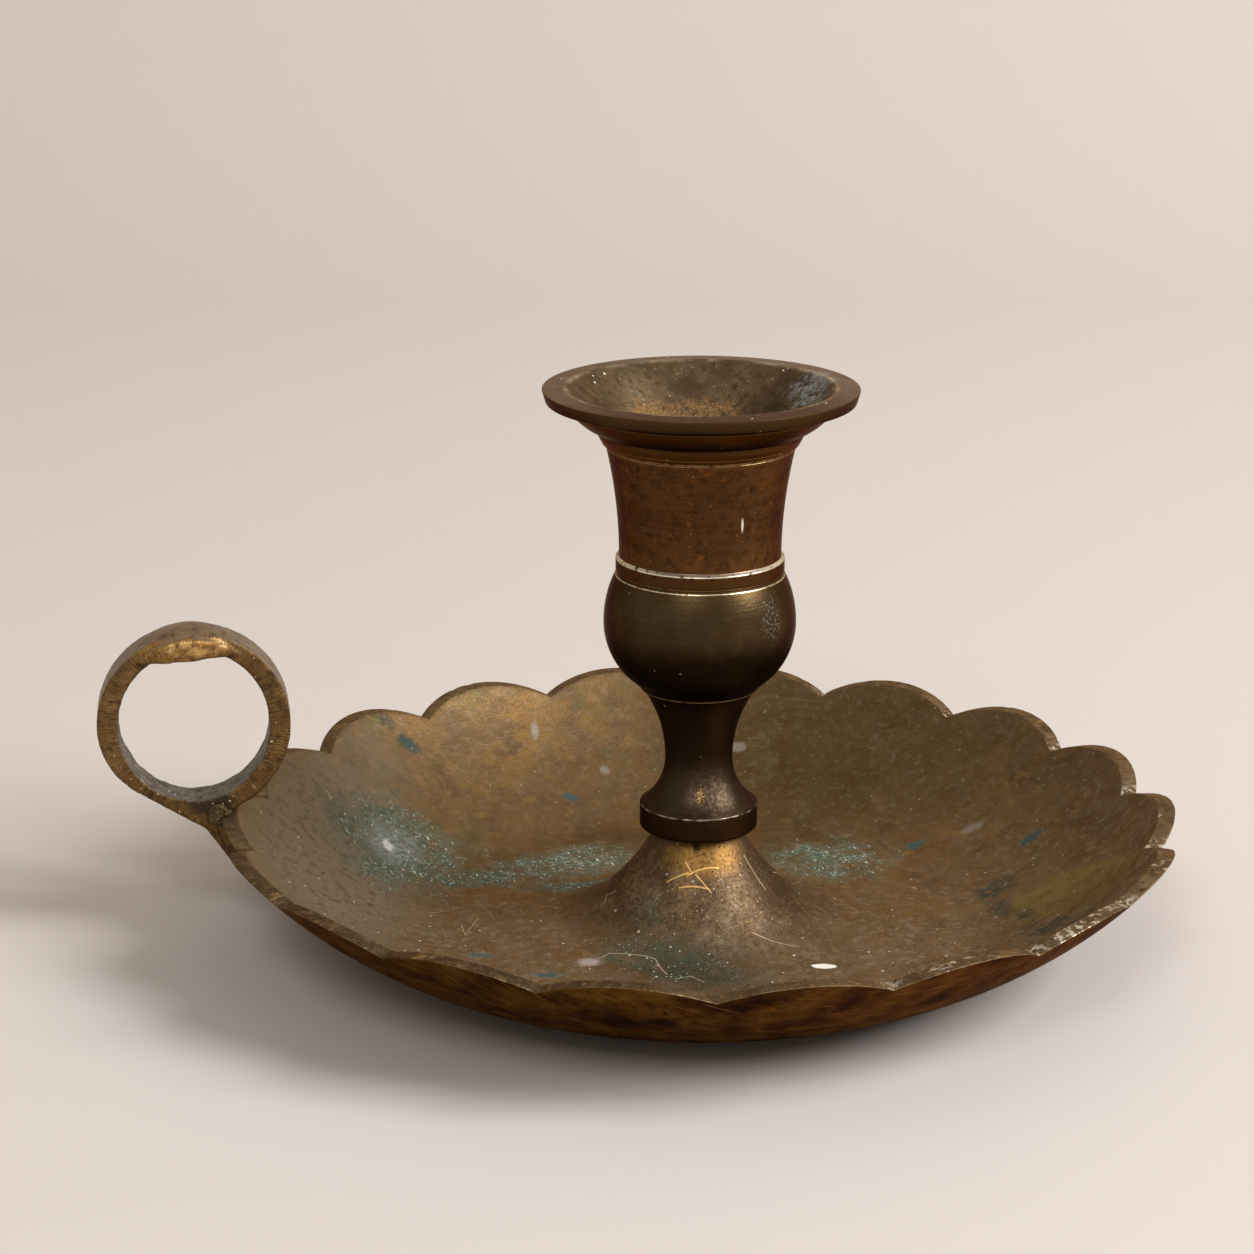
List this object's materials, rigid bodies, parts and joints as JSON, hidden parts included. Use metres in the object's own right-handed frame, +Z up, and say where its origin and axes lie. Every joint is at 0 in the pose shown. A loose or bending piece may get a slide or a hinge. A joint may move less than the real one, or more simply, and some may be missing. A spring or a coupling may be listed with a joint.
{
  "type": "chamberstick",
  "caption": "Low candle holder with a scalloped drip pan, a turned stem with a flanged candle cup, and a finger ring with a thumb rest at the rim.",
  "frame": {"origin": "on the table, under the middle of the stem", "axes": "+Z up along the stem, -X towards the finger ring"},
  "size_m": [0.1745, 0.1534, 0.0906],
  "materials": {
    "cast_brass": "aged, hand polished",
    "turned_brass": "aged, turned, dark patina",
    "braze": "rough",
    "steel": "dull"
  },
  "bodies": {
    "root": {"drip_pan": "cast_brass", "candle_stem": "turned_brass", "finger_ring": "cast_brass", "braze_bead": "braze", "fixing_screw": "steel", "screw_washer": "steel"}
  },
  "joints": []
}
